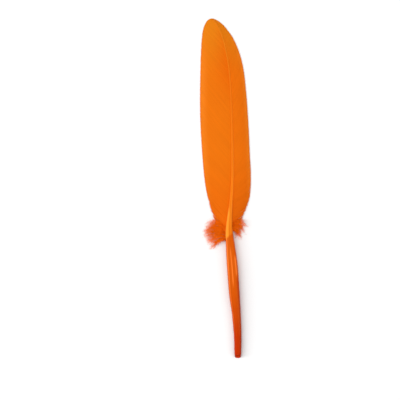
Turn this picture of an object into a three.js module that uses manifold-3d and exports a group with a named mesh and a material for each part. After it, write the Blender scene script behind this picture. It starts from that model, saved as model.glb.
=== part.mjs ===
// A dyed goose quill feather lying on its underside, as one solid. Millimetres, +Z up, the tip toward +Y and
// the quill toward -Y. The origin is the middle of the footprint, on the surface that the feather rests on.

import * as THREE from "three";
import { mergeVertices } from "three/addons/utils/BufferGeometryUtils.js";
import Module from "manifold-3d";

const wasm = await Module();
wasm.setup();

function curveThrough(places) {
  const points = places.map((place) => new THREE.Vector3(place[0], place[1], place[2] ?? 0));
  return new THREE.CatmullRomCurve3(points);
}

// Driving dimensions.
const LOCKS = 30; // bundles of barbs on each side of the shaft
const VANE_COLUMNS = 5; // steps along a barb
const VANE_ROOT_THICKNESS = 0.62;
const VANE_EDGE_THICKNESS = 0.36;
const VANE_ARCH = 1.5; // how late a vane falls away from the shaft, 1 being a straight slope
const BARB_BEND = 0.1; // how far a barb bows toward the quill, as a share of its length
const LOCK_RIDGE = 0.1; // how far the middle of a bundle stands above its borders
const RIDGE_RISE = 0.25; // the share of a barb over which that ridge rises
const LOCK_SCALLOP = 0.012; // how much shorter the vane is between two bundles, as a share of the barb
const SHAFT_SIDES = 14;
const SHAFT_STEPS = 56;
const SHAFT_SQUARENESS = 2.6; // 2 is a round section, and more has squarer shoulders
const BORE_RADIUS = 0.9; // at the mouth
const BORE_NARROWING = 0.7; // the radius at the bore's far end, as a share of that at the mouth
const BORE_DEPTH = 6;
const BORE_SIDES = 10;
const CUT_SLANT = 0.55; // radians between the quill's cut end and a square cut
const CUT_INSET = 0.8; // from the end of the shaft's path to the middle of the cut
const WEDGE = { width: 8, length: 6, height: 8 };
const DOWN_STEPS = 9;
const DOWN_SIDES = 6;
const DOWN_SQUARENESS = 2;
const FLOOR_CUTTER = { width: 80, length: 200, height: 10 };

// The shaft from the cut end of the quill to the tip: the places of its centre, with half its width and half
// its height in the same order.
const SHAFT_CENTRES = [
  [5.0, -69.8, 1.25],
  [4.99, -67.4, 1.38],
  [4.92, -60.3, 1.5],
  [4.38, -51.5, 1.68],
  [3.58, -43.5, 1.82],
  [2.87, -33.6, 1.95],
  [1.84, -22.5, 2.05],
  [1.42, -17.5, 2.1],
  [1.75, -11, 2.15],
  [2.25, -4.5, 2.15],
  [2.72, 3.5, 2.1],
  [2.78, 16, 2.05],
  [2.45, 32, 1.9],
  [1.85, 44.3, 1.65],
  [0.65, 53.7, 1.35],
  [-1.3, 61.8, 1.0],
  [-3.5, 66.8, 0.7],
  [-5.5, 69.4, 0.45],
];
const SHAFT_HALF_SIZES = [
  [1.18, 1.18],
  [1.45, 1.43],
  [1.6, 1.55],
  [1.85, 1.7],
  [2.2, 1.84],
  [2.3, 1.9],
  [1.85, 1.72],
  [1.47, 1.52],
  [0.98, 1.2],
  [0.66, 1.0],
  [0.56, 0.88],
  [0.48, 0.74],
  [0.42, 0.62],
  [0.36, 0.52],
  [0.32, 0.44],
  [0.28, 0.36],
  [0.24, 0.28],
  [0.2, 0.2],
];

// Where the last barbs leave the shaft, as a share of its length.
const LAST_BARB = 0.97;

// The free edges of the vanes, from the end of the first barb to the tip.
const WIDE_EDGE = [
  [-5.3, -11.8],
  [-7.2, -4.9],
  [-8.65, 3.3],
  [-9.75, 15.6],
  [-10.35, 25.8],
  [-10.55, 36.1],
  [-10.42, 46.3],
  [-10.1, 56.6],
  [-9.45, 64.0],
  [-8.6, 66.9],
  [-7.45, 68.7],
  [-6.6, 69.3],
  [-5.75, 69.5],
];
const NARROW_EDGE = [
  [6.3, -13.5],
  [8.4, -8.6],
  [9.9, -3.7],
  [10.4, 5.3],
  [9.95, 13.5],
  [9.4, 25.4],
  [8.35, 40.2],
  [7.3, 48.8],
  [5.9, 54.7],
  [3.1, 61.4],
  [0.85, 64.65],
  [-1.25, 67.1],
  [-3.5, 68.75],
  [-5.25, 69.5],
];

// Each vane: its edge, where its first barb leaves the shaft as a share of the shaft's length, how far its
// barbs lean ahead halfway up, and the gaps where bundles have parted, given by the number of the lock above
// the gap and the gap's depth as a share of the barb.
const WIDE_VANE = { edge: curveThrough(WIDE_EDGE), first: 0.36, lean: 0.55, gaps: { 1: 0.1 } };
const NARROW_VANE = { edge: curveThrough(NARROW_EDGE), first: 0.383, lean: 0.36, gaps: { 1: 0.12 } };

// The down under the vanes: each lock by the share of the shaft's length that it grows from, and the places
// that it curls through.
const DOWN = [
  { from: 0.379, through: [[-1.5, -14.9, 1.9], [-4.3, -14.1, 1.3], [-7.4, -15.2, 0.7]] },
  { from: 0.371, through: [[-1.5, -16.2, 1.8], [-4.8, -15.6, 1.1], [-8.0, -16.8, 0.5]] },
  { from: 0.364, through: [[-1.5, -17.2, 1.7], [-4.8, -17.0, 1.0], [-8.7, -18.0, 0.5]] },
  { from: 0.358, through: [[-1.7, -18.3, 1.6], [-5.2, -18.4, 0.9], [-9.2, -19.2, 0.5]] },
  { from: 0.351, through: [[-1.6, -19.6, 1.6], [-4.9, -20.2, 0.9], [-7.8, -21.8, 0.5]] },
  { from: 0.346, through: [[-1.3, -20.9, 1.6], [-3.6, -21.9, 1.0], [-5.8, -24.2, 0.5]] },
  { from: 0.386, through: [[4.3, -14.1, 1.9], [6.0, -13.9, 1.2], [7.8, -15.2, 0.6]] },
  { from: 0.379, through: [[4.0, -15.6, 1.8], [5.4, -16.1, 1.1], [6.7, -17.8, 0.5]] },
  { from: 0.371, through: [[3.8, -17.0, 1.7], [4.7, -17.9, 1.0], [5.5, -19.8, 0.5]] },
];
const DOWN_HALF_WIDTHS = [0.65, 0.58, 0.4, 0.2];
const DOWN_FLATNESS = 0.62; // a lock's height as a share of its width

const UP = new THREE.Vector3(0, 0, 1);

function weldedPositions(geometry) {
  geometry.deleteAttribute("normal");
  geometry.deleteAttribute("uv");
  return mergeVertices(geometry);
}

function movedPoints(geometry, place) {
  const positions = geometry.attributes.position;
  const point = new THREE.Vector3();
  for (let index = 0; index < positions.count; index += 1) {
    point.fromBufferAttribute(positions, index);
    const moved = place(point.clone());
    positions.setXYZ(index, moved.x, moved.y, moved.z);
  }
  return geometry;
}

function solidFrom(geometry) {
  const positions = new Float32Array(geometry.attributes.position.array);
  const triangles = new Uint32Array(geometry.index.array);
  return new wasm.Manifold(new wasm.Mesh({ numProp: 3, vertProperties: positions, triVerts: triangles }));
}

function geometryFrom(solid) {
  const mesh = solid.getMesh();
  const geometry = new THREE.BufferGeometry();
  geometry.setAttribute("position", new THREE.BufferAttribute(mesh.vertProperties, 3));
  geometry.setIndex(new THREE.BufferAttribute(mesh.triVerts, 1));
  return geometry;
}

// A rod bent along a path, with its half width and half height following a second curve. Its section is
// round where squareness is 2, and has squarer shoulders above that.
function taperedRod(path, halfSizes, sides, steps, squareness) {
  const rod = weldedPositions(new THREE.CylinderGeometry(1, 1, 1, sides, steps));
  return movedPoints(rod, (point) => {
    const share = point.y + 0.5;
    const tangent = path.getTangent(share);
    const side = new THREE.Vector3().crossVectors(tangent, UP).normalize();
    const top = new THREE.Vector3().crossVectors(side, tangent);
    const half = halfSizes.getPoint(share);
    const across = Math.sign(point.x) * Math.abs(point.x) ** (2 / squareness) * half.x;
    const up = Math.sign(point.z) * Math.abs(point.z) ** (2 / squareness) * half.y;
    return path.getPoint(share).addScaledVector(side, across).addScaledVector(top, up);
  });
}

const shaftPath = curveThrough(SHAFT_CENTRES);
const shaftHalfSizes = curveThrough(SHAFT_HALF_SIZES);

function shaftSolid() {
  return solidFrom(taperedRod(shaftPath, shaftHalfSizes, SHAFT_SIDES, SHAFT_STEPS, SHAFT_SQUARENESS));
}

// The hollow mouth of the quill, with the wedge that slants its cut end.
function mouthCutter() {
  const end = new THREE.Vector3(...SHAFT_CENTRES[0]);
  const farRadius = BORE_RADIUS * BORE_NARROWING;
  const nearRadius = BORE_RADIUS * (2 - BORE_NARROWING);
  const rod = new THREE.CylinderGeometry(farRadius, nearRadius, 2 * BORE_DEPTH, BORE_SIDES);
  const bore = weldedPositions(rod);
  bore.translate(end.x, end.y, end.z);
  const { width, length, height } = WEDGE;
  const wedge = weldedPositions(new THREE.BoxGeometry(width, length, height));
  wedge.translate(0, -length / 2, 0);
  wedge.rotateX(-CUT_SLANT);
  wedge.translate(end.x, end.y + CUT_INSET, end.z);
  return solidFrom(bore).add(solidFrom(wedge));
}

// The place on a vane where a barb, given by its row from base to tip, has gone some share of its way to the
// free edge.
function barbPoint(vane, row, share) {
  const root = shaftPath.getPointAt(vane.first + (LAST_BARB - vane.first) * row);
  const end = vane.edge.getPointAt(Math.min(1, row + vane.lean * row * (1 - row)));
  end.z = VANE_EDGE_THICKNESS / 2;
  const chord = new THREE.Vector3().subVectors(end, root);
  const bend = root.clone().addScaledVector(chord, 0.5);
  bend.y -= BARB_BEND * chord.length() * (1 - row);
  const barb = new THREE.QuadraticBezierCurve3(root, bend, end);
  const point = barb.getPoint(share);
  point.z = root.z + (end.z - root.z) * share ** VANE_ARCH;
  return point;
}

function vaneSolid() {
  const rows = 2 * LOCKS;
  const sheet = weldedPositions(new THREE.BoxGeometry(2, 1, 1, 2 * VANE_COLUMNS, rows, 1));
  return solidFrom(movedPoints(sheet, (point) => {
    const vane = point.x < 0 ? WIDE_VANE : NARROW_VANE;
    const rowNumber = Math.round((point.y + 0.5) * rows);
    const border = rowNumber % 2 === 0;
    const gap = vane.gaps[rowNumber / 2] ?? 0;
    const reach = border ? 1 - LOCK_SCALLOP - gap : 1;
    const share = Math.abs(point.x) * reach;
    const thickness = THREE.MathUtils.lerp(VANE_ROOT_THICKNESS, VANE_EDGE_THICKNESS, share);
    const placed = barbPoint(vane, rowNumber / rows, share);
    placed.z += point.z * thickness;
    if (point.z > 0 && border) {
      placed.z -= LOCK_RIDGE * Math.min(1, share / RIDGE_RISE);
    }
    return placed;
  }));
}

function downSolids() {
  const halfSizes = curveThrough(DOWN_HALF_WIDTHS.map((half) => [half, half * DOWN_FLATNESS]));
  return DOWN.map((lock) => {
    const root = shaftPath.getPointAt(lock.from);
    const path = curveThrough([root.toArray(), ...lock.through]);
    return solidFrom(taperedRod(path, halfSizes, DOWN_SIDES, DOWN_STEPS, DOWN_SQUARENESS));
  });
}

// Everything below the resting surface, which presses the quill's underside flat.
function floorCutter() {
  const { width, length, height } = FLOOR_CUTTER;
  const block = weldedPositions(new THREE.BoxGeometry(width, length, height));
  block.translate(0, 0, -height / 2);
  return solidFrom(block);
}

function featherGeometry() {
  let solid = wasm.Manifold.union([shaftSolid(), vaneSolid(), ...downSolids()]);
  solid = solid.subtract(mouthCutter());
  solid = solid.subtract(floorCutter());
  const geometry = geometryFrom(solid);
  geometry.computeBoundingBox();
  const { min, max } = geometry.boundingBox;
  geometry.translate(-(min.x + max.x) / 2, -(min.y + max.y) / 2, -min.z);
  return geometry;
}

const dyedFeather = new THREE.MeshStandardMaterial({ color: 0xf27910, roughness: 0.6, metalness: 0 });

const feather = new THREE.Mesh(featherGeometry(), dyedFeather);
feather.name = "feather";

const gooseQuillFeather = new THREE.Group();
gooseQuillFeather.add(feather);

export default gooseQuillFeather;
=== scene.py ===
"""A dyed goose quill feather: a horn quill and rachis, two vanes of fine barbs, and down at their base.

The feather lies on its underside with its tip toward +Y. Each piece, or pair of like pieces, has an
operator in the Goose Feather panel.
"""

import bisect
import math

import bpy
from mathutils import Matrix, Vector


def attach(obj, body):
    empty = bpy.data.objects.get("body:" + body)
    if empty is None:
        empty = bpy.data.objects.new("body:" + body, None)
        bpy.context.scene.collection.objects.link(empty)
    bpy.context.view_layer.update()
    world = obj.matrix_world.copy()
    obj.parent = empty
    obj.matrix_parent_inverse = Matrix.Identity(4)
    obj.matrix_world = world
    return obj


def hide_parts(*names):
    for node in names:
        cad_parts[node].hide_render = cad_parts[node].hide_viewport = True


bl_info = {
    "name": "Goose Quill Feather",
    "version": (1, 0, 0),
    "blender": (4, 5, 0),
    "location": "View3D > Sidebar > Goose Feather",
    "description": "Builds a dyed goose quill feather from its shaft, vanes and down",
    "category": "Add Mesh",
}

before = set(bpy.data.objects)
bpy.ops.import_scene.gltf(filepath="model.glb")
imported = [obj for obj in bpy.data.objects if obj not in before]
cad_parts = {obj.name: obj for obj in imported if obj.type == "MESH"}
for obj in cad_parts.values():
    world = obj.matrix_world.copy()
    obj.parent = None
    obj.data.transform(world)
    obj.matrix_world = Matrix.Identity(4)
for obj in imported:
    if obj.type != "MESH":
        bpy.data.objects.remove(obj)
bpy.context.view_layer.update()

NODE = "feather"
BODY = "root"
MM = 0.001
WHOLE_TURN = 6.28  # radians

# The shaft from the cut end of the quill to the tip, in millimetres: the places of its centre, and half
# its width and half its height at each of them.
SHAFT_CENTRES = [
    (5.0, -69.8, 1.25),
    (4.99, -67.4, 1.38),
    (4.92, -60.3, 1.5),
    (4.38, -51.5, 1.68),
    (3.58, -43.5, 1.82),
    (2.87, -33.6, 1.95),
    (1.84, -22.5, 2.05),
    (1.42, -17.5, 2.1),
    (1.75, -11, 2.15),
    (2.25, -4.5, 2.15),
    (2.72, 3.5, 2.1),
    (2.78, 16, 2.05),
    (2.45, 32, 1.9),
    (1.85, 44.3, 1.65),
    (0.65, 53.7, 1.35),
    (-1.3, 61.8, 1.0),
    (-3.5, 66.8, 0.7),
    (-5.5, 69.4, 0.45),
]
SHAFT_HALF_SIZES = [
    (1.18, 1.18),
    (1.45, 1.43),
    (1.6, 1.55),
    (1.85, 1.7),
    (2.2, 1.84),
    (2.3, 1.9),
    (1.85, 1.72),
    (1.47, 1.52),
    (0.98, 1.2),
    (0.66, 1.0),
    (0.56, 0.88),
    (0.48, 0.74),
    (0.42, 0.62),
    (0.36, 0.52),
    (0.32, 0.44),
    (0.28, 0.36),
    (0.24, 0.28),
    (0.2, 0.2),
]
SHAFT_SQUARENESS = 2.6  # 2 is a round section, and more has squarer shoulders

# The slanted, hollow cut end of the quill, in millimetres but for the angle.
CUT_SLANT = 0.55  # radians from a square cut
CUT_INSET = 0.8  # from the end of the shaft's path to the middle of the cut
CUT_SETBACK = 0.08  # from the end of the shaft's path to the foremost point of the cut
CUT_BLEND = 5.0  # how much of the shaft's length takes up the slant

# The rings from the cut's outer rim into the hollow: size as a share of the shaft's, and depth below the
# cut. The first ones lie on the cut wall, and the rest inside it.
BORE = [
    (1.0, 0.05),
    (0.97, 0.0),
    (0.9, -0.02),
    (0.82, 0.0),
    (0.77, 0.06),
    (0.75, 0.3),
    (0.7, 2.5),
    (0.58, 6.0),
]
WALL_RINGS = 4

# The shallow groove along the top of the shaft, where the quill turns into the rachis.
GROOVE_DEPTH = 0.12  # as a share of the shaft's half height
GROOVE_WIDTH = 0.3  # radians round the shaft
GROOVE_PLACE = -9.0
GROOVE_REACH = 12.0

# The free edges of the vanes, from the end of the first barb to the tip.
WIDE_EDGE = [
    (-5.3, -11.8),
    (-7.2, -4.9),
    (-8.65, 3.3),
    (-9.75, 15.6),
    (-10.35, 25.8),
    (-10.55, 36.1),
    (-10.42, 46.3),
    (-10.1, 56.6),
    (-9.45, 64.0),
    (-8.6, 66.9),
    (-7.45, 68.7),
    (-6.6, 69.3),
    (-5.75, 69.5),
]
NARROW_EDGE = [
    (6.3, -13.5),
    (8.4, -8.6),
    (9.9, -3.7),
    (10.4, 5.3),
    (9.95, 13.5),
    (9.4, 25.4),
    (8.35, 40.2),
    (7.3, 48.8),
    (5.9, 54.7),
    (3.1, 61.4),
    (0.85, 64.65),
    (-1.25, 67.1),
    (-3.5, 68.75),
    (-5.25, 69.5),
]

# Each vane: its edge, where its first barb leaves the shaft as a share of the shaft's length, how far its
# barbs lean ahead halfway up, how its barbs tilt, how much painted shade darkens it along the shaft, how
# much painted light brightens it right beside the shaft, and its gaps. A gap has its place from base to
# tip, its depth as a share of the barb, and its width in millimetres.
WIDE_VANE = {
    "name": "wide_vane",
    "edge": WIDE_EDGE,
    "first": 0.36,
    "lean": 0.55,
    "tilt": 0.12,
    "hollow": 0.8,
    "shaft_side_painted_light": 0.0,
    "gaps": [(0.034, 0.1, 0.3), (0.62, 0.06, 0.1)],
}
NARROW_VANE = {
    "name": "narrow_vane",
    "edge": NARROW_EDGE,
    "first": 0.383,
    "lean": 0.36,
    "tilt": -0.12,
    "hollow": 0.3,
    "shaft_side_painted_light": 0.16,
    "gaps": [(0.034, 0.12, 0.3), (0.3, 0.06, 0.1)],
}
LAST_BARB = 0.97  # where the last barb leaves the shaft, as a share of the shaft's length
LOOSE_BARBS = 11  # the lowest one in so many barbs are loose, and less so upwards
LOOSE_SHORTENING = 0.2  # how much shorter the loosest may be, as a share of the barb

# How much finer a barb, a strand and a side hair are at their ends.
BARB_TAPER = 0.6
STRAND_TAPER = 0.75
HAIR_TAPER = 0.6

# How finely the pieces are drawn.
PATH_SAMPLES = 600
GUIDE_STEPS = 400
LOCK_STEPS = 24
BARB_POINTS = 15
STRAND_POINTS = 18
HAIR_POINTS = 3
BARB_SIDES = 4
DOWN_SIDES = 3

# The locks of down: the share of the shaft's length that each grows from, and the places that it curls
# through.
DOWN = [
    (0.379, [(-1.5, -14.9, 1.9), (-4.3, -14.1, 1.3), (-7.4, -15.2, 0.7)]),
    (0.371, [(-1.5, -16.2, 1.8), (-4.8, -15.6, 1.1), (-8.0, -16.8, 0.5)]),
    (0.364, [(-1.5, -17.2, 1.7), (-4.8, -17.0, 1.0), (-8.7, -18.0, 0.5)]),
    (0.358, [(-1.7, -18.3, 1.6), (-5.2, -18.4, 0.9), (-9.2, -19.2, 0.5)]),
    (0.351, [(-1.6, -19.6, 1.6), (-4.9, -20.2, 0.9), (-7.8, -21.8, 0.5)]),
    (0.346, [(-1.3, -20.9, 1.6), (-3.6, -21.9, 1.0), (-5.8, -24.2, 0.5)]),
    (0.386, [(4.3, -14.1, 1.9), (6.0, -13.9, 1.2), (7.8, -15.2, 0.6)]),
    (0.379, [(4.0, -15.6, 1.8), (5.4, -16.1, 1.1), (6.7, -17.8, 0.5)]),
    (0.371, [(3.8, -17.0, 1.7), (4.7, -17.9, 1.0), (5.5, -19.8, 0.5)]),
]


def middle(values):
    """Halfway between the lowest and the highest value."""
    return (min(values) + max(values)) / 2


# The middle of the footprint, which the frame has as its origin.
FOOTPRINT_MIDDLE = Vector((
    middle([place[0] for place in WIDE_EDGE + NARROW_EDGE]),
    middle([SHAFT_CENTRES[0][1] + CUT_SETBACK, WIDE_EDGE[-1][1]]),
    0,
))


def in_frame(place):
    """A place given in millimetres from the drawing's origin, in metres in the shared frame."""
    x, y, z = (*place, 0)[:3]
    return (Vector((x, y, z)) - FOOTPRINT_MIDDLE) * MM


class SmoothPath:
    """A curve through places, with even speed at sharp turns (a centripetal Catmull-Rom curve)."""

    def __init__(self, places):
        self.places = [Vector(place) for place in places]
        self.shares = [step / PATH_SAMPLES for step in range(PATH_SAMPLES + 1)]
        points = [self.at(share) for share in self.shares]
        self.lengths = [0.0]
        for here, there in zip(points, points[1:]):
            self.lengths.append(self.lengths[-1] + (there - here).length)

    def share_after(self, length):
        """The share of the way at which the curve has run this length."""
        index = min(max(bisect.bisect_left(self.lengths, length), 1), len(self.shares) - 1)
        low, high = self.lengths[index - 1], self.lengths[index]
        part = (length - low) / (high - low)
        return self.shares[index - 1] + (self.shares[index] - self.shares[index - 1]) * part

    def at(self, share):
        """The place at this share of the way, counted in spans between the given places."""
        last = len(self.places) - 1
        span = min(int(share * last), last - 1)
        local = share * last - span
        here = self.places[span]
        there = self.places[span + 1]
        before = self.places[span - 1] if span > 0 else here * 2 - there
        after = self.places[span + 2] if span + 2 <= last else there * 2 - here
        gap_before = math.sqrt((here - before).length)
        gap = math.sqrt((there - here).length)
        gap_after = math.sqrt((after - there).length)
        ahead = (there - here) / gap
        leave = (here - before) / gap_before - (there - before) / (gap_before + gap) + ahead
        arrive = ahead - (after - here) / (gap + gap_after) + (after - there) / gap_after
        leave *= gap
        arrive *= gap
        square = local * local
        cube = square * local
        return (
            here * (2 * cube - 3 * square + 1)
            + there * (3 * square - 2 * cube)
            + leave * (cube - 2 * square + local)
            + arrive * (cube - square)
        )

    def sampled(self, steps):
        return [self.at(step / steps) for step in range(steps + 1)]

    def towards(self, share):
        """The direction of the curve at this share of the way."""
        step = 1e-4
        return (self.at(min(1, share + step)) - self.at(max(0, share - step))).normalized()


shaft_path = SmoothPath([in_frame(place) for place in SHAFT_CENTRES])
shaft_half_sizes = SmoothPath([(width * MM, height * MM, 0) for width, height in SHAFT_HALF_SIZES])


class Wire:
    """One output socket of a node tree. Arithmetic on it adds Math or Vector Math nodes to the tree."""

    def __init__(self, nodes, socket):
        self.nodes = nodes
        self.socket = socket

    def is_vector(self):
        return self.socket.type == "VECTOR"

    def maths(self, operation, *others):
        values = dict(enumerate([self, *others]))
        return self.nodes.add("ShaderNodeMath", {"operation": operation}, values)

    def vector_maths(self, operation, *others, output="Vector"):
        values = dict(enumerate([self, *others]))
        return self.nodes.add("ShaderNodeVectorMath", {"operation": operation}, values, output)

    def combine(self, operation, first, second):
        vectors = [is_vector(first), is_vector(second)]
        if not any(vectors):
            return self.nodes.add("ShaderNodeMath", {"operation": operation}, {0: first, 1: second})
        if operation == "MULTIPLY" and not all(vectors):
            vector, scale = (first, second) if vectors[0] else (second, first)
            values = {0: vector, "Scale": scale}
            return self.nodes.add("ShaderNodeVectorMath", {"operation": "SCALE"}, values)
        return self.nodes.add("ShaderNodeVectorMath", {"operation": operation}, {0: first, 1: second})

    def __add__(self, other):
        return self.combine("ADD", self, other)

    def __radd__(self, other):
        return self.combine("ADD", other, self)

    def __sub__(self, other):
        return self.combine("SUBTRACT", self, other)

    def __rsub__(self, other):
        return self.combine("SUBTRACT", other, self)

    def __mul__(self, other):
        return self.combine("MULTIPLY", self, other)

    def __rmul__(self, other):
        return self.combine("MULTIPLY", other, self)

    def __truediv__(self, other):
        return self.combine("DIVIDE", self, other)

    def __rtruediv__(self, other):
        return self.combine("DIVIDE", other, self)

    def __pow__(self, other):
        return self.combine("POWER", self, other)

    def clamped(self):
        return self.nodes.add("ShaderNodeClamp", {}, {"Value": self})

    def between(self, low, high):
        """0 below low, 1 above high, and a smooth step from one to the other."""
        settings = {"interpolation_type": "SMOOTHSTEP"}
        values = {"Value": self, "From Min": low, "From Max": high}
        return self.nodes.add("ShaderNodeMapRange", settings, values)


def is_vector(value):
    return value.is_vector() if isinstance(value, Wire) else isinstance(value, (tuple, Vector))


class Nodes:
    """Adds nodes to one tree."""

    def __init__(self, tree):
        self.tree = tree

    def add(self, kind, settings=None, inputs=None, output=0):
        """A new node with these settings and these values or links; gives the output asked for."""
        node = self.tree.nodes.new(kind)
        for name, value in (settings or {}).items():
            setattr(node, name, value)
        for key, value in (inputs or {}).items():
            self.plug(self.find(node.inputs, key), value)
        return Wire(self, self.find(node.outputs, output))

    @staticmethod
    def find(sockets, key):
        if isinstance(key, int):
            return sockets[key]
        enabled = (socket for socket in sockets if socket.enabled)
        return next(socket for socket in enabled if key in (socket.name, socket.identifier))

    def plug(self, socket, value):
        if isinstance(value, Wire):
            self.tree.links.new(value.socket, socket)
        else:
            socket.default_value = value

    def joined(self, x, y, z):
        """A vector with these three parts."""
        return self.add("ShaderNodeCombineXYZ", {}, {"X": x, "Y": y, "Z": z})

    def split(self, vector):
        """The three parts of a vector."""
        node = self.add("ShaderNodeSeparateXYZ", {}, {0: vector}).socket.node
        return [Wire(self, output) for output in node.outputs]

    def mixed(self, first, second, share):
        """A colour between first and second."""
        values = {"Factor": share, "A_Color": colour_value(first), "B_Color": colour_value(second)}
        return self.add("ShaderNodeMix", {"data_type": "RGBA"}, values, "Result_Color")


def colour_value(colour):
    return colour if isinstance(colour, Wire) else (*colour, 1)


class GeometryTree(Nodes):
    """A geometry tree with named inputs that ends in realised instances and a material."""

    def __init__(self, name):
        super().__init__(bpy.data.node_groups.new(name, "GeometryNodeTree"))
        self.tree.interface.new_socket("Mesh", in_out="OUTPUT", socket_type="NodeSocketGeometry")
        self.entry = self.tree.nodes.new("NodeGroupInput")

    def input(self, name, kind="Float"):
        self.tree.interface.new_socket(name, in_out="INPUT", socket_type="NodeSocket" + kind)
        return Wire(self, self.entry.outputs[name])

    def stored(self, geometry, name, value):
        values = {"Geometry": geometry, "Name": name, "Value": value}
        return self.add("GeometryNodeStoreNamedAttribute", {}, values)

    def attribute(self, name):
        return self.add("GeometryNodeInputNamedAttribute", {}, {"Name": name}, "Attribute")

    def random(self, low, high, number, seed):
        values = {"Min": low, "Max": high, "ID": number, "Seed": seed}
        return self.add("FunctionNodeRandomValue", {}, values, "Value")

    def object_geometry(self, name):
        return self.add("GeometryNodeObjectInfo", {}, {"Object": self.input(name, "Object")}, "Geometry")

    def kept_above(self, curves, height):
        """The same curves, with every point that is lower than this raised to it."""
        x, y, z = self.split(self.add("GeometryNodeInputPosition"))
        raised = self.joined(x, y, z.maths("MAXIMUM", height))
        return self.add("GeometryNodeSetPosition", {}, {"Geometry": curves, "Position": raised})

    def rods(self, curves, sides, width, height, scale):
        """A closed rod of this many sides along each curve, lying flat."""
        flat = self.add("GeometryNodeSetCurveNormal", {"mode": "Z_UP"}, {"Curve": curves})
        ring = self.add("GeometryNodeCurvePrimitiveCircle", {}, {"Resolution": sides, "Radius": 0.5})
        size = self.joined(width, height, 1)
        section = self.add("GeometryNodeTransform", {}, {"Geometry": ring, "Scale": size})
        values = {"Curve": flat, "Profile Curve": section, "Scale": scale, "Fill Caps": True}
        return self.add("GeometryNodeCurveToMesh", {}, values)

    def finish(self, geometry):
        plain = self.add("GeometryNodeRealizeInstances", {}, {"Geometry": geometry})
        flat = self.add("GeometryNodeSetShadeSmooth", {}, {"Geometry": plain, "Shade Smooth": False})
        material = self.input("Material", "Material")
        dressed = self.add("GeometryNodeSetMaterial", {}, {"Geometry": flat, "Material": material})
        exit_node = self.tree.nodes.new("NodeGroupOutput")
        self.plug(exit_node.inputs["Mesh"], dressed)
        return self.tree


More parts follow.
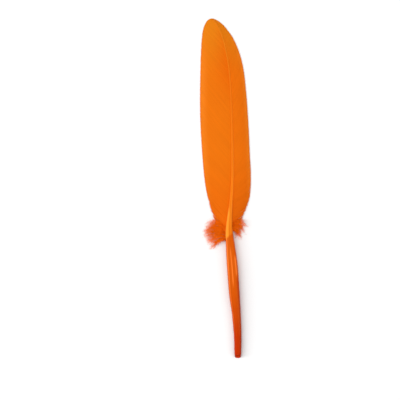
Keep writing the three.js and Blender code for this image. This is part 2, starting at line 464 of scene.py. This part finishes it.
def barb_tree(gap_count):
    """Barbs from the shaft to a vane's free edge, each a thin lying rod with a ridge along it."""
    nodes = GeometryTree("Barbs")
    shaft = nodes.object_geometry("Shaft")
    edge = nodes.object_geometry("Edge")
    count = nodes.input("Barbs", "Int")
    first = nodes.input("First Barb")
    last = nodes.input("Last Barb")
    lean = nodes.input("Lean")
    arch = nodes.input("Arch")
    bow = nodes.input("Bow")
    edge_height = nodes.input("Edge Height")
    width = nodes.input("Barb Width")
    thickness = nodes.input("Barb Thickness")
    tilt = nodes.input("Barb Tilt")
    locks = nodes.input("Locks")
    scallop = nodes.input("Lock Scallop")
    furrow = nodes.input("Lock Furrow")
    unevenness = nodes.input("Unevenness")
    fray = nodes.input("Fray")
    lift = nodes.input("Root Lift")
    seed = nodes.input("Seed", "Int")

    # A point for each barb with what is random about it, and then a line for each point.
    number = nodes.add("GeometryNodeInputIndex")
    points = nodes.add("GeometryNodePoints", {}, {"Count": count}, "Geometry")
    jitter = nodes.random(-0.3, 0.3, number, seed)
    points = nodes.stored(points, "along", ((number + jitter) / (count - 1)).clamped())
    points = nodes.stored(points, "shade", nodes.random(-1.0, 1.0, number, seed + 1))
    points = nodes.stored(points, "reach", nodes.random(0.0, 1.0, number, seed + 2))
    points = nodes.stored(points, "stray", nodes.random(-1.0, 1.0, number, seed + 3))
    line = nodes.add("GeometryNodeCurvePrimitiveLine", {}, {"End": (1, 0, 0)})
    line = nodes.add("GeometryNodeResampleCurve", {}, {"Curve": line, "Count": BARB_POINTS})
    curves = nodes.add("GeometryNodeInstanceOnPoints", {}, {"Points": points, "Instance": line})
    curves = nodes.add("GeometryNodeRealizeInstances", {}, {"Geometry": curves})
    across = nodes.add("GeometryNodeSplineParameter", {}, {}, "Factor")
    curves = nodes.stored(curves, "across", across)

    # Where each barb starts and ends. The lowest ones are loose, and end unevenly.
    along = nodes.attribute("along")
    across = nodes.attribute("across")
    root_share = first + (last - first) * along
    end_share = (along + lean * along * (1 - along)).clamped()
    root = nodes.add("GeometryNodeSampleCurve", {}, {"Curves": shaft, "Factor": root_share}, "Position")
    root = root + nodes.joined(0, 0, lift * (1 - along * 0.55))
    end = nodes.add("GeometryNodeSampleCurve", {}, {"Curves": edge, "Factor": end_share}, "Position")
    end_x, end_y, _ = nodes.split(end)
    loose = (1 - along * LOOSE_BARBS).maths("MAXIMUM", 0)
    end = nodes.joined(end_x, end_y + nodes.attribute("stray") * loose * fray, edge_height)

    # Barbs cling together in locks, and are shorter and lower where one lock meets the next.
    lock_place = along * locks
    nearest_border = lock_place.maths("ROUND")
    from_border = (lock_place - nearest_border).maths("ABSOLUTE") * 2
    strength = nodes.random(0.0, 1.0, nearest_border, seed + 4) ** 2
    border = (1 - from_border).maths("MAXIMUM", 0) ** 3 * strength
    uneven = unevenness + LOOSE_SHORTENING * loose
    shortening = scallop * border + uneven * nodes.attribute("reach")
    travel = across * (1 - shortening)

    # Each barb bows a little toward the base, and falls from the shaft's height to the edge's.
    chord = end - root
    sag = chord.vector_maths("LENGTH", output="Value") * bow * (1 - along)
    bend = root + chord * 0.5 - nodes.joined(0, sag, 0)
    stay = 1 - travel
    place = root * (stay * stay) + bend * (2 * travel * stay) + end * (travel * travel)
    root_height = nodes.split(root)[2]
    x, y, _ = nodes.split(place)
    fall = (edge_height - root_height) * travel**arch
    dip = furrow * border * (travel * 4).maths("MINIMUM", 1)
    place = nodes.joined(x, y, root_height + fall - dip)
    # The barbs on both sides of a gap draw apart toward their ends.
    for gap in range(1, gap_count + 1):
        gap_place = nodes.input(f"Gap {gap} Place")
        depth = nodes.input(f"Gap {gap} Depth")
        gap_width = nodes.input(f"Gap {gap} Width")
        away = along - gap_place
        near = (-1 * (away * locks * 1.4) ** 2).maths("EXPONENT")
        opening = ((travel - 1 + depth) / depth).maths("MAXIMUM", 0) ** 1.5
        push = away.maths("SIGN") * near * opening * gap_width * 0.5
        place = place + nodes.joined(0, push, 0)
    curves = nodes.add("GeometryNodeSetPosition", {}, {"Geometry": curves, "Position": place})
    tilt = tilt + nodes.attribute("shade") * 0.05
    curves = nodes.add("GeometryNodeSetCurveTilt", {}, {"Curve": curves, "Tilt": tilt})
    scale = 1 - BARB_TAPER * travel**8
    return nodes.finish(nodes.rods(curves, BARB_SIDES, width, thickness, scale))


def down_tree():
    """Wisps of down: strands that spread from each guide, with fine side hairs along every strand."""
    nodes = GeometryTree("Down")
    guides = nodes.object_geometry("Guides")
    strands_per_lock = nodes.input("Strands", "Int")
    spread = nodes.input("Spread")
    curl = nodes.input("Curl")
    thickness = nodes.input("Strand Thickness")
    hairs = nodes.input("Hairs", "Int")
    hair_length = nodes.input("Hair Length")
    hair_thickness = nodes.input("Hair Thickness")
    floor_gap = nodes.input("Floor Gap")
    seed = nodes.input("Seed", "Int")

    # Strands: copies of each guide, cut to uneven lengths, that spread and curl toward their ends.
    copies = {"Geometry": guides, "Amount": strands_per_lock}
    strands = nodes.add("GeometryNodeDuplicateElements", {"domain": "SPLINE"}, copies)
    on_curves = {"domain": "CURVE", "data_type": "INT"}
    index = nodes.add("GeometryNodeInputIndex")
    number = nodes.add("GeometryNodeFieldOnDomain", on_curves, {"Value": index})
    across = nodes.add("GeometryNodeSplineParameter", {}, {}, "Factor")
    length = nodes.random(0.62, 1.0, number, seed)
    strands = nodes.add("GeometryNodeTrimCurve", {}, {"Curve": strands, "Start": 0.0, "End": length})
    strands = nodes.add("GeometryNodeResampleCurve", {}, {"Curve": strands, "Count": STRAND_POINTS})
    strands = nodes.stored(strands, "across", across)
    strands = nodes.stored(strands, "shade", nodes.random(-1.0, 1.0, number, seed + 1))
    sideways = nodes.joined(
        nodes.random(-1.0, 1.0, number, seed + 2),
        nodes.random(-1.0, 1.0, number, seed + 3),
        nodes.random(-0.5, 0.5, number, seed + 4),
    )
    phase = nodes.random(0.0, WHOLE_TURN, number, seed + 5)
    turns = nodes.random(5.0, 9.0, number, seed + 6)
    wave = nodes.joined(
        (across * turns + phase).maths("SINE"), (across * turns * 1.3 + phase * 2).maths("COSINE"), 0
    )
    offset = sideways * (across**1.3 * spread) + wave * (across * curl)
    strands = nodes.add("GeometryNodeSetPosition", {}, {"Geometry": strands, "Offset": offset})
    strands = nodes.kept_above(strands, floor_gap + thickness * 0.5)
    stems = nodes.rods(strands, DOWN_SIDES, thickness, thickness, 1 - STRAND_TAPER * across)

    # Side hairs: none at a strand's root, and shorter again toward its end.
    sprouts = nodes.add("GeometryNodeCurveToPoints", {}, {"Curve": strands, "Count": hairs}, "Points")
    sprout_tangent = Wire(nodes, sprouts.socket.node.outputs["Tangent"])
    hair_number = nodes.add("GeometryNodeInputIndex")
    outward = nodes.joined(
        nodes.random(-1.0, 1.0, hair_number, seed + 7),
        nodes.random(-1.0, 1.0, hair_number, seed + 8),
        nodes.random(-0.4, 0.4, hair_number, seed + 9),
    )
    heading = sprout_tangent * 0.7 + outward.vector_maths("NORMALIZE")
    turn = nodes.add("FunctionNodeAlignRotationToVector", {"axis": "X"}, {"Vector": heading})
    hair = nodes.add("GeometryNodeCurvePrimitiveLine", {}, {"End": (1, 0, 0)})
    hair = nodes.add("GeometryNodeResampleCurve", {}, {"Curve": hair, "Count": HAIR_POINTS})
    hair_share = nodes.add("GeometryNodeSplineParameter", {}, {}, "Factor")
    sag = nodes.joined(0, hair_share * hair_share * 0.4, 0)
    hair = nodes.add("GeometryNodeSetPosition", {}, {"Geometry": hair, "Offset": sag})
    place = nodes.attribute("across")
    size = nodes.random(0.5, 1.0, hair_number, seed + 10) * hair_length
    size = size * (1 - 0.4 * place) * place.between(0, 0.25)
    whole_size = nodes.joined(size, size, size)
    growth = {"Points": sprouts, "Instance": hair, "Rotation": turn, "Scale": whole_size}
    fuzz = nodes.add("GeometryNodeInstanceOnPoints", {}, growth)
    fuzz = nodes.add("GeometryNodeRealizeInstances", {}, {"Geometry": fuzz})
    fuzz = nodes.kept_above(fuzz, floor_gap + hair_thickness * 0.5)
    scale = 1 - HAIR_TAPER * nodes.add("GeometryNodeSplineParameter", {}, {}, "Factor")
    fuzz = nodes.rods(fuzz, DOWN_SIDES, hair_thickness, hair_thickness, scale)

    both = nodes.add("GeometryNodeJoinGeometry")
    for part in (stems, fuzz):
        nodes.tree.links.new(part.socket, both.socket.node.inputs[0])
    return nodes.finish(both)


def guide_object(name, lines):
    """A helper curve object with one straight-pieced line through each list of places."""
    curve = bpy.data.curves.new(name, "CURVE")
    curve.dimensions = "3D"
    for places in lines:
        spline = curve.splines.new("POLY")
        spline.points.add(len(places) - 1)
        for point, place in zip(spline.points, places):
            point.co = (*place, 1)
    guide = bpy.data.objects.new(name, curve)
    bpy.context.scene.collection.objects.link(guide)
    return guide


def grown_piece(name, tree, values, guides):
    """The plain mesh that a geometry tree grows from these values and guides, which are then removed."""
    piece = bpy.data.objects.new(name, bpy.data.meshes.new(name))
    bpy.context.scene.collection.objects.link(piece)
    modifier = piece.modifiers.new("Growth", "NODES")
    modifier.node_group = tree
    settings = {**values, **guides}
    for item in tree.interface.items_tree:
        if item.in_out == "INPUT":
            modifier[item.identifier] = settings[item.name]
    graph = bpy.context.evaluated_depsgraph_get()
    mesh = bpy.data.meshes.new_from_object(piece.evaluated_get(graph), depsgraph=graph)
    piece.modifiers.remove(modifier)
    piece.data = mesh
    mesh.name = name
    for guide in guides.values():
        bpy.data.curves.remove(guide.data)
    if not mesh.polygons:
        raise RuntimeError(f"{name} grew no faces")
    return piece


def finished_piece(piece):
    """Ties a piece to the feather's body, and hides the CAD node that it stands in for."""
    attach(piece, BODY)
    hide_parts(NODE)


class Finish(Nodes):
    """A material whose colour, roughness and bump come from expressions."""

    def __init__(self, name):
        self.material = bpy.data.materials.new(name)
        self.material.use_nodes = True
        super().__init__(self.material.node_tree)
        self.shader = self.tree.nodes["Principled BSDF"]

    def set(self, **values):
        for name, value in values.items():
            self.plug(self.shader.inputs[name.replace("_", " ")], value)

    def attribute(self, name):
        return self.add("ShaderNodeAttribute", {"attribute_name": name}, {}, "Fac")

    def place(self):
        """The Object coordinates, whole and split."""
        whole = self.add("ShaderNodeTexCoord", {}, {}, "Object")
        return whole, self.split(whole)

    def noise(self, vector, scale, detail):
        return self.add("ShaderNodeTexNoise", {}, {"Vector": vector, "Scale": scale, "Detail": detail}, 0)

    def tinted(self, colour, amount):
        """A colour made darker or lighter by amount, which is near 1."""
        return self.add("ShaderNodeVectorMath", {"operation": "SCALE"}, {0: colour, "Scale": amount})


def vane_finish(colours, name, body, hollow, shaft_side_painted_light):
    """Satin dyed barbs: yellower tip, deeper base, painted shade and light by the shaft, painted edge
    highlight.
    """
    finish = Finish(name)
    along = finish.attribute("along")
    across = finish.attribute("across")
    shade = finish.attribute("shade")
    _, (_, y, _) = finish.place()
    length = y / MM
    tip = length.between(44, 70)
    base = 1 - length.between(-20, 18)
    # Painted shade along the shaft toward the tip, in the base colour.
    deep = (1 - across.between(0, 0.7)) * length.between(30, 54) * (1 - tip * 0.7) * hollow
    # A painted highlight along the free edge, where the edges catch the light.
    rim = across.between(0.7, 1.0) * (1 - tip) * (1 - base)
    colour = finish.mixed(body, colours.tip, tip * 0.85)
    colour = finish.mixed(colour, colours.base, (base * 0.8).maths("MAXIMUM", deep))
    colour = finish.mixed(colour, colours.rim, rim)
    bands = finish.noise(finish.joined(along * 26, across * 0.8, 0), scale=1.0, detail=4.0)
    barbs = finish.noise(finish.joined(along * 160, across * 1.5, 0), scale=1.0, detail=1.0)
    light = 1 + shade * 0.02 + (bands - 0.5) * 0.16 + (barbs - 0.5) * 0.08
    # Painted light right beside the shaft, where the rachis casts its shadow.
    light = light + (1 - across.between(0.0, 0.16)) * length.between(-14, 4) * shaft_side_painted_light
    colour = finish.tinted(colour, light)
    finish.set(Base_Color=colour, Roughness=0.55 + (bands - 0.5) * 0.2)
    finish.set(Specular_IOR_Level=0.25, Specular_Tint=(*colours.shine, 1))
    return finish.material


def horn_finish(colours):
    """Glossy dyed horn: a clear deep quill and a rachis bright with pith, both with painted highlights
    and shade.
    """
    finish = Finish("Dyed horn")
    around = finish.attribute("around")
    inside = finish.attribute("inside")
    whole, (_, y, _) = finish.place()
    drawn_out = finish.add("ShaderNodeMapping", {}, {"Vector": whole, "Scale": (1800, 50, 1800)})
    grain = finish.noise(drawn_out, scale=1.0, detail=3.0)
    blotch = finish.noise(whole, scale=260, detail=3.0)
    length = y / MM + (grain - 0.5) * 1.2

    def line(centre, width):
        """A streak along the shaft at this place across it."""
        off = (around - centre) / width
        return (off * off * -1).maths("EXPONENT")

    def reach(low, high, fade):
        """1 between two places along the shaft, fading outside them."""
        return length.between(low - fade, low) * (1 - length.between(high, high + fade))

    # The quill: deep red toward its cut end, and painted shade in the same deep red down its right side.
    end = 1 - (length + (blotch - 0.5) * 10).between(-66, -36)
    shaded = around.between(0.1, 0.9) * (1 - length.between(-39, -34)) * 0.55
    quill = finish.mixed(colours.quill, colours.quill_end, end.maths("MAXIMUM", shaded))
    # Its painted highlights, streaks along it: the long one on the left, one down the middle, and a short
    # one on the right.
    light = line(-0.76, 0.11) * reach(-52, -22, 8) * (0.4 + length.between(-46, -24) * 0.6)
    light = light.maths("MAXIMUM", line(-0.08, 0.1) * reach(-37, -27, 4))
    light = light.maths("MAXIMUM", line(0.62, 0.12) * reach(-34.2, -29.2, 2.5))
    light = light * (0.6 + grain * 0.8)
    quill = finish.mixed(quill, colours.quill_painted_highlight, light.clamped())
    # Painted shade along both of its edges, beside the left highlight, and down its right side toward the
    # cut end.
    dark = (line(0.98, 0.2) * 0.7).maths("MAXIMUM", line(-0.5, 0.12) * 0.35)
    dark = dark.maths("MAXIMUM", line(-1, 0.08) * 1.2)
    quill = finish.tinted(quill, 1 - dark * 0.35 - around.between(0, 1) * end * 0.2)
    # Painted light down its right side, higher up the quill.
    quill = finish.tinted(quill, 1 + around.between(0, 0.9) * length.between(-36, -27) * 0.2)
    # The rachis: bright with pith, with painted light on its lit left side, a painted highlight on its
    # right and painted shade in its groove, fading to the vanes' colour toward the tip.
    start = length - around * 1.3
    pith = start.between(-20.0, -18.6)
    left_side = (1 - around.between(-0.4, 0.05)) * (1 - length.between(-10.5, -7))
    ridge = line(0.45, 0.3) * length.between(-18, -12) * 0.3
    rachis = finish.mixed(colours.rachis, colours.pith, left_side.maths("MAXIMUM", ridge))
    groove = line(0.12, 0.12) * (1 - length.between(-11, -6))
    rachis = finish.tinted(rachis, 1 - groove * 0.16)
    rachis = finish.mixed(rachis, colours.vane, length.between(-12, 40))
    rachis = finish.mixed(rachis, colours.tip, length.between(42, 66) * 0.8)
    # Painted light on its right side near the vanes' base, and a little painted shade near the tip.
    right_side_painted_light = around.between(0.2, 0.9) * length.between(-12, 0)
    rachis = finish.tinted(rachis, 1 - length.between(40, 58) * 0.04 + right_side_painted_light * 0.25)
    colour = finish.mixed(quill, rachis, pith)
    colour = finish.mixed(colour, colours.mouth, inside)
    colour = finish.tinted(colour, 1 + (grain - 0.5) * 0.16)
    relief = {"Strength": 0.3, "Distance": 0.05 * MM, "Height": grain}
    bump = finish.add("ShaderNodeBump", {}, relief, "Normal")
    finish.set(Base_Color=colour, Roughness=0.24 + grain * 0.12 + pith * 0.12, Normal=bump)
    finish.set(Specular_IOR_Level=0.35, Specular_Tint=(*colours.shine, 1))
    return finish.material


def down_finish(colours):
    """Soft dyed down, paler toward the ends of its strands."""
    finish = Finish("Dyed down")
    across = finish.attribute("across")
    shade = finish.attribute("shade")
    colour = finish.mixed(colours.base, colours.down, across.between(0.05, 0.6))
    colour = finish.tinted(colour, 1 + shade * 0.12)
    finish.set(Base_Color=colour, Roughness=0.6 + shade * 0.05)
    finish.set(Specular_IOR_Level=0)
    return finish.material


def plain_finish(name, colour, roughness):
    finish = Finish(name)
    finish.set(Base_Color=(*colour, 1), Roughness=roughness)
    return finish.material


class FeatherSizes(bpy.types.PropertyGroup):
    """Sizes that a user would change."""

    barbs: bpy.props.IntProperty(
        name="Barbs", description="Barbs on each side", default=400, min=40, max=600
    )
    barb_width: bpy.props.FloatProperty(
        name="Barb width", description="Width of one barb", default=0.36 * MM, unit="LENGTH"
    )
    barb_thickness: bpy.props.FloatProperty(
        name="Barb thickness", description="Height of one barb's ridge", default=0.1 * MM, unit="LENGTH"
    )
    strands: bpy.props.IntProperty(
        name="Strands", description="Strands in a lock of down", default=42, min=1
    )
    hairs: bpy.props.IntProperty(
        name="Hairs", description="Side hairs on a strand of down", default=26, min=1
    )


def colour_property(name, description, default):
    return bpy.props.FloatVectorProperty(
        name=name, description=description, default=default, subtype="COLOR", size=3
    )


class FeatherColours(bpy.types.PropertyGroup):
    """Dye colours, from the tip of the vane to the end of the quill."""

    vane: colour_property("Vane", "The broad middle of the vanes", (0.75, 0.154, 0.003))
    # Painted shade tone: the vane's dye made redder, as the narrow vane looks on its shaded side.
    narrow_vane: colour_property("Narrow vane", "The middle of the narrow vane", (0.82, 0.158, 0.003))
    tip: colour_property("Tip", "The yellower tip", (0.715, 0.205, 0.006))
    # The base colour is also the painted shade along the shaft.
    base: colour_property("Base", "The deeper base of the vanes", (0.74, 0.112, 0.001))
    # The rim colour is a painted highlight along the vanes' free edges.
    rim: colour_property("Rim", "The pale free edge", (0.83, 0.202, 0.012))
    down: colour_property("Down", "The ends of the down", (0.97, 0.19, 0.004))
    # Partly the pith's own brightness, partly painted light on the rachis's lit left side and a painted
    # highlight on its right.
    pith: colour_property("Pith", "The bright side of the rachis", (0.95, 0.295, 0.025))
    rachis: colour_property("Rachis", "The plain side of the rachis", (0.82, 0.18, 0.005))
    quill: colour_property("Quill", "The bare quill", (0.64, 0.086, 0.0005))
    # Painted highlights along the quill.
    quill_painted_highlight: colour_property("Quill painted highlight", "Clear streaks of the quill", (0.93, 0.195, 0.025))
    # Also the painted shade down the quill's right side.
    quill_end: colour_property("Quill end", "The quill near its cut end", (0.51, 0.022, 0.0002))
    mouth: colour_property("Mouth", "The inside of the quill", (0.60, 0.03, 0.001))
    shine: colour_property("Shine", "The tint of the shine", (1.0, 0.38, 0.07))
    floor: colour_property("Floor", "The pale floor", (0.94, 0.94, 0.94))


class AddShaft(bpy.types.Operator):
    """Loft the horn shaft, from the hollow cut end of the quill to the fine end of the rachis"""

    bl_idname = "goose_feather.add_shaft"
    bl_label = "Shaft"

    sides = 40
    steps = 220
    crowding = 1.25  # more than 1 sets the rings closer together toward the cut end
    cut_rounds = 4  # how often the cut's depth is worked out anew from where the last one fell
    tip_shrink = 0.5

    @staticmethod
    def squared(value):
        """A cosine or sine, pushed outwards for the shaft's squared section."""
        return math.copysign(abs(value) ** (2 / SHAFT_SQUARENESS), value)

    def surface(self, depth, angle, scale=1.0):
        """A place on the shaft, this far from the quill's end: it is grooved where the rachis begins."""
        share = shaft_path.share_after(depth)
        half = shaft_half_sizes.at(share)
        centre = shaft_path.at(share)
        tangent = shaft_path.towards(share)
        side = tangent.cross(Vector((0, 0, 1))).normalized()
        top = side.cross(tangent)
        grooved = math.exp(-(((centre.y / MM - GROOVE_PLACE) / GROOVE_REACH) ** 4))
        groove = GROOVE_DEPTH * grooved * math.exp(-(((angle - math.pi / 2) / GROOVE_WIDTH) ** 2))
        across = self.squared(math.cos(angle)) * half.x
        up = self.squared(math.sin(angle)) * half.y * (1 - groove)
        place = centre + (side * across + top * up) * scale
        place.z = max(place.z, 0)
        return place

    def cut_depth(self, angle):
        """How far from the shaft's end the slanted cut crosses the surface here."""
        depth = CUT_INSET * MM
        for _ in range(self.cut_rounds):
            rise = self.surface(depth, angle).z - shaft_path.at(0).z
            depth = CUT_INSET * MM + math.tan(CUT_SLANT) * rise
        return depth

    def execute(self, context):
        angles = [2 * math.pi * side / self.sides for side in range(self.sides)]
        cuts = [self.cut_depth(angle) for angle in angles]
        blend = CUT_BLEND * MM
        rings = []
        for scale, push in reversed(BORE):
            depths = [cut + push * MM for cut in cuts]
            rings.append([self.surface(depth, angle, scale) for depth, angle in zip(depths, angles)])
        inner_rings = len(rings)
        whole = shaft_path.lengths[-1]
        for step in range(1, self.steps + 1):
            depth = whole * (step / self.steps) ** self.crowding
            taken = max(0, 1 - depth / blend)
            depths = [depth + cut * taken for cut in cuts]
            rings.append([self.surface(depth, angle) for depth, angle in zip(depths, angles)])
        tip = shaft_path.at(1)
        rings.append([tip + (place - tip) * self.tip_shrink for place in rings[-1]])

        faces = [tuple(range(self.sides))]
        for low in range(0, (len(rings) - 1) * self.sides, self.sides):
            for side in range(self.sides):
                following = (side + 1) % self.sides
                high = low + self.sides
                faces.append((low + following, low + side, high + side, high + following))
        last = (len(rings) - 1) * self.sides
        faces.append(tuple(range(last + self.sides - 1, last - 1, -1)))
        mesh = bpy.data.meshes.new("shaft")
        mesh.from_pydata([tuple(place) for ring in rings for place in ring], [], faces)
        around = mesh.attributes.new("around", "FLOAT", "POINT")
        places_around = [self.squared(math.cos(angle)) for angle in angles]
        around.data.foreach_set("value", places_around * len(rings))
        inside = mesh.attributes.new("inside", "FLOAT", "POINT")
        hollow_rings = inner_rings - WALL_RINGS
        hollow = [float(row < hollow_rings) for row in range(len(rings)) for _ in angles]
        inside.data.foreach_set("value", hollow)
        mesh.shade_smooth()
        mesh.materials.append(horn_finish(context.scene.goose_feather_colours))
        shaft = bpy.data.objects.new("shaft", mesh)
        context.scene.collection.objects.link(shaft)
        finished_piece(shaft)
        return {"FINISHED"}


class AddVanes(bpy.types.Operator):
    """Grow the wide and the narrow vane, barb by barb, from the shaft to their free edges"""

    bl_idname = "goose_feather.add_vanes"
    bl_label = "Vanes"

    def execute(self, context):
        sizes = context.scene.goose_feather_sizes
        colours = context.scene.goose_feather_colours
        # The narrow vane takes its painted shade tone.
        vanes = [(WIDE_VANE, colours.vane), (NARROW_VANE, colours.narrow_vane)]
        for seed, (vane, body) in enumerate(vanes):
            edge = SmoothPath([in_frame(place) for place in vane["edge"]])
            guides = {
                "Shaft": guide_object("shaft_guide", [shaft_path.sampled(GUIDE_STEPS)]),
                "Edge": guide_object("edge_guide", [edge.sampled(GUIDE_STEPS)]),
            }
            finish = vane_finish(colours, vane["name"], body, vane["hollow"], vane["shaft_side_painted_light"])
            values = {
                "Barbs": sizes.barbs,
                "First Barb": vane["first"],
                "Last Barb": LAST_BARB,
                "Lean": vane["lean"],
                "Arch": 1.5,
                "Bow": 0.1,
                "Edge Height": 0.2 * MM,
                "Barb Width": sizes.barb_width,
                "Barb Thickness": sizes.barb_thickness,
                "Barb Tilt": vane["tilt"],
                "Locks": 30.0,
                "Lock Scallop": 0.006,
                "Lock Furrow": 0.06 * MM,
                "Unevenness": 0.01,
                "Fray": 0.5 * MM,
                "Root Lift": 0.34 * MM,
                "Seed": 10 * seed,
                "Material": finish,
            }
            for number, (place, depth, width) in enumerate(vane["gaps"], 1):
                values[f"Gap {number} Place"] = place
                values[f"Gap {number} Depth"] = depth
                values[f"Gap {number} Width"] = width * MM
            finished_piece(grown_piece(vane["name"], barb_tree(len(vane["gaps"])), values, guides))
        return {"FINISHED"}


class AddDown(bpy.types.Operator):
    """Grow the curled down at the base of the vanes"""

    bl_idname = "goose_feather.add_down"
    bl_label = "Down"

    def execute(self, context):
        sizes = context.scene.goose_feather_sizes
        lines = []
        for share, places in DOWN:
            root = shaft_path.at(shaft_path.share_after(share * shaft_path.lengths[-1]))
            path = SmoothPath([root] + [in_frame(place) for place in places])
            lines.append(path.sampled(LOCK_STEPS))
        values = {
            "Strands": sizes.strands,
            "Spread": 1.3 * MM,
            "Curl": 0.35 * MM,
            "Strand Thickness": 0.13 * MM,
            "Hairs": sizes.hairs,
            "Hair Length": 1.3 * MM,
            "Hair Thickness": 0.06 * MM,
            "Floor Gap": 0.05 * MM,
            "Seed": 6,
            "Material": down_finish(context.scene.goose_feather_colours),
        }
        guides = {"Guides": guide_object("down_guides", lines)}
        finished_piece(grown_piece("down", down_tree(), values, guides))
        return {"FINISHED"}


class SetStage(bpy.types.Operator):
    """Add the pale floor, the soft lights and the camera that looks straight down"""

    bl_idname = "goose_feather.set_stage"
    bl_label = "Stage"

    # Where the middle of the view falls on the floor, in the drawing's millimetres. Then, in metres, how
    # much of the floor it takes in, how high the camera is and how far the floor runs each way.
    view_centre = (-10.5, -4.9)
    view_width = 164 * MM
    camera_height = 0.8
    floor_reach = 1.5
    film_width = 36.0
    daylight = 0.52

    def add_lamp(self, context, name, place, size, energy):
        light = bpy.data.lights.new(name, "AREA")
        light.shape = "RECTANGLE"
        light.size, light.size_y = size
        light.energy = energy
        lamp = bpy.data.objects.new(name, light)
        lamp.location = place
        lamp.rotation_euler = (-Vector(place)).to_track_quat("-Z", "Y").to_euler()
        context.scene.collection.objects.link(lamp)

    def execute(self, context):
        colours = context.scene.goose_feather_colours
        mesh = bpy.data.meshes.new("floor")
        reach = self.floor_reach
        corners = [(-reach, -reach, 0), (reach, -reach, 0), (reach, reach, 0), (-reach, reach, 0)]
        mesh.from_pydata(corners, [], [(0, 1, 2, 3)])
        mesh.materials.append(plain_finish("Floor", colours.floor, roughness=0.8))
        floor = bpy.data.objects.new("floor", mesh)
        context.scene.collection.objects.link(floor)

        self.add_lamp(context, "key", place=(-0.6, 0.05, 0.62), size=(0.3, 1.3), energy=6.0)
        self.add_lamp(context, "fill", place=(0.5, -0.1, 0.75), size=(0.12, 1.2), energy=2.2)

        world = bpy.data.worlds.new("Studio")
        world.use_nodes = True
        background = world.node_tree.nodes["Background"]
        background.inputs["Color"].default_value = (1, 1, 1, 1)
        background.inputs["Strength"].default_value = self.daylight
        context.scene.world = world
        context.scene.view_settings.view_transform = "Standard"

        camera = bpy.data.cameras.new("camera")
        camera.sensor_width = self.film_width
        camera.lens = self.film_width * self.camera_height / self.view_width
        viewer = bpy.data.objects.new("camera", camera)
        centre = in_frame(self.view_centre)
        viewer.location = (centre.x, centre.y, self.camera_height)
        context.scene.collection.objects.link(viewer)
        context.scene.camera = viewer
        return {"FINISHED"}


class FeatherPanel(bpy.types.Panel):
    """The feather's pieces, sizes and colours"""

    bl_idname = "VIEW3D_PT_goose_feather"
    bl_label = "Goose Feather"
    bl_space_type = "VIEW_3D"
    bl_region_type = "UI"
    bl_category = "Goose Feather"

    def draw(self, context):
        for operator in OPERATORS:
            self.layout.operator(operator.bl_idname)
        for group in (context.scene.goose_feather_sizes, context.scene.goose_feather_colours):
            for name in group.__annotations__:
                self.layout.prop(group, name)


OPERATORS = (AddShaft, AddVanes, AddDown, SetStage)
CLASSES = (FeatherSizes, FeatherColours, *OPERATORS, FeatherPanel)


def register():
    for item in CLASSES:
        bpy.utils.register_class(item)
    bpy.types.Scene.goose_feather_sizes = bpy.props.PointerProperty(type=FeatherSizes)
    bpy.types.Scene.goose_feather_colours = bpy.props.PointerProperty(type=FeatherColours)


def unregister():
    del bpy.types.Scene.goose_feather_colours
    del bpy.types.Scene.goose_feather_sizes
    for item in reversed(CLASSES):
        bpy.utils.unregister_class(item)


def main():
    register()
    bpy.ops.goose_feather.add_shaft()
    bpy.ops.goose_feather.add_vanes()
    bpy.ops.goose_feather.add_down()
    bpy.ops.goose_feather.set_stage()


if __name__ == "__main__":
    main()
